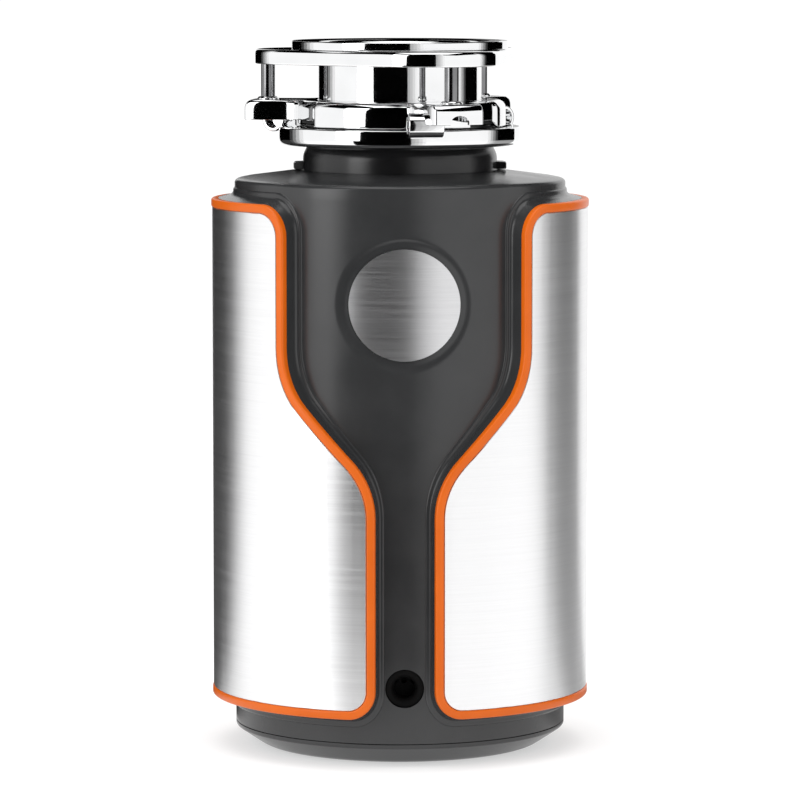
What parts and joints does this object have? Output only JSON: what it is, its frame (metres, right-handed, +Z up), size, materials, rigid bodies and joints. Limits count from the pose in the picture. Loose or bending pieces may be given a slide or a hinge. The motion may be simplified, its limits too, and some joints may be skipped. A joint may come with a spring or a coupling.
{
  "type": "food waste disposer",
  "caption": "Kitchen food waste disposer that hangs under a sink on a twist-lock ring and grinds scraps on a spinning turntable, in a dark body with steel side panels.",
  "frame": {"origin": "on the body's axis, at the level of the flat base it stands on", "axes": "+Z up along the rotor's axis towards the sink, -Y towards the front with the badge and the cord hole, +X to the right seen from the front"},
  "size_m": [0.201, 0.1993, 0.3753],
  "materials": {
    "dark_plastic": "satin",
    "orange_trim": "satin",
    "brushed_panel": "brushed across",
    "brushed_badge": "brushed upright",
    "chrome": "polished",
    "steel": "plain",
    "black_plastic": "semi-gloss",
    "rubber": "matt",
    "cast_iron": "cast",
    "copper": "lacquered copper wire",
    "aluminium": "cast",
    "red_plastic": "gloss",
    "fibre": "pressed fibre",
    "foam": "foam",
    "green_screw": "green"
  },
  "bodies": {
    "housing": {"outer_shell": "dark_plastic", "bottom_cover": "dark_plastic", "cover_screw_1": "steel", "cover_screw_2": "steel", "cover_screw_3": "steel", "trim_right": "orange_trim", "trim_left": "orange_trim", "side_panel_right": "brushed_panel", "side_panel_left": "brushed_panel", "front_badge": "brushed_badge", "cord_gland": "black_plastic", "lower_bearing": "steel", "upper_bearing": "steel", "lower_end_frame": "cast_iron", "upper_end_frame": "cast_iron", "tie_bolt_1": "steel", "tie_bolt_2": "steel", "tie_bolt_3": "steel", "tie_bolt_4": "steel", "stator_core": "cast_iron", "stator_coil_lower": "copper", "stator_coil_upper": "copper", "capacitor": "black_plastic", "overload_protector": "black_plastic", "terminal_block": "fibre", "ground_screw": "green_screw", "drain_chamber": "cast_iron", "shaft_seal": "rubber", "grind_chamber": "black_plastic", "shredder_ring": "steel", "dishwasher_plug": "rubber", "insulation_wrap": "foam", "outlet_spigot": "black_plastic", "outlet_gasket": "rubber", "outlet_clamp": "steel", "outlet_screw_1": "steel", "outlet_screw_2": "steel", "sink_flange": "chrome", "upper_mounting_ring": "chrome", "snap_ring": "steel", "splash_baffle": "rubber"},
    "rotor": {"rotor_shaft": "steel", "rotor_core": "aluminium", "turntable": "steel", "turntable_nut": "steel", "impeller_pin_1": "steel", "impeller_pin_2": "steel"},
    "hammer_1": {"impeller_1": "steel"},
    "hammer_2": {"impeller_2": "steel"},
    "reset": {"reset_button": "red_plastic"},
    "lock_ring": {"lower_mounting_ring": "chrome"},
    "clamp": {"backup_flange": "chrome", "fibre_gasket": "fibre"},
    "screw_1": {"mounting_screw_1": "chrome"},
    "screw_2": {"mounting_screw_2": "chrome"},
    "screw_3": {"mounting_screw_3": "chrome"}
  },
  "joints": [
    {"name": "rotor_spin", "type": "hinge", "parent": "housing", "child": "rotor", "pos_m": [0, 0, 0.2], "axis": [0, 0, 1], "continuous": true},
    {"name": "hammer_1_swing", "type": "hinge", "parent": "rotor", "child": "hammer_1", "pos_m": [0.047, 0, 0.22], "axis": [0, 0, 1], "continuous": true},
    {"name": "hammer_2_swing", "type": "hinge", "parent": "rotor", "child": "hammer_2", "pos_m": [-0.047, 0, 0.22], "axis": [0, 0, 1], "continuous": true},
    {"name": "reset_press", "type": "slide", "parent": "housing", "child": "reset", "axis": [0, 0, 1], "range_m": [0, 0.0025], "stiffness_N_per_m": 400},
    {"name": "lock_ring_turn", "type": "hinge", "parent": "housing", "child": "lock_ring", "pos_m": [0, 0, 0.325], "axis": [0, 0, 1], "range_deg": [0, 35]},
    {"name": "clamp_travel", "type": "slide", "parent": "housing", "child": "clamp", "axis": [0, 0, -1], "range_m": [0, 0.01]},
    {"name": "screw_1_travel", "type": "slide", "parent": "housing", "child": "screw_1", "axis": [0, 0, -1], "range_m": [0, 0.01]},
    {"name": "screw_2_travel", "type": "slide", "parent": "housing", "child": "screw_2", "axis": [0, 0, -1], "range_m": [0, 0.01]},
    {"name": "screw_3_travel", "type": "slide", "parent": "housing", "child": "screw_3", "axis": [0, 0, -1], "range_m": [0, 0.01]}
  ],
  "couplings": [
    {"joint": "screw_1_travel", "follows": "clamp_travel", "ratio": 1},
    {"joint": "screw_2_travel", "follows": "clamp_travel", "ratio": 1},
    {"joint": "screw_3_travel", "follows": "clamp_travel", "ratio": 1}
  ]
}
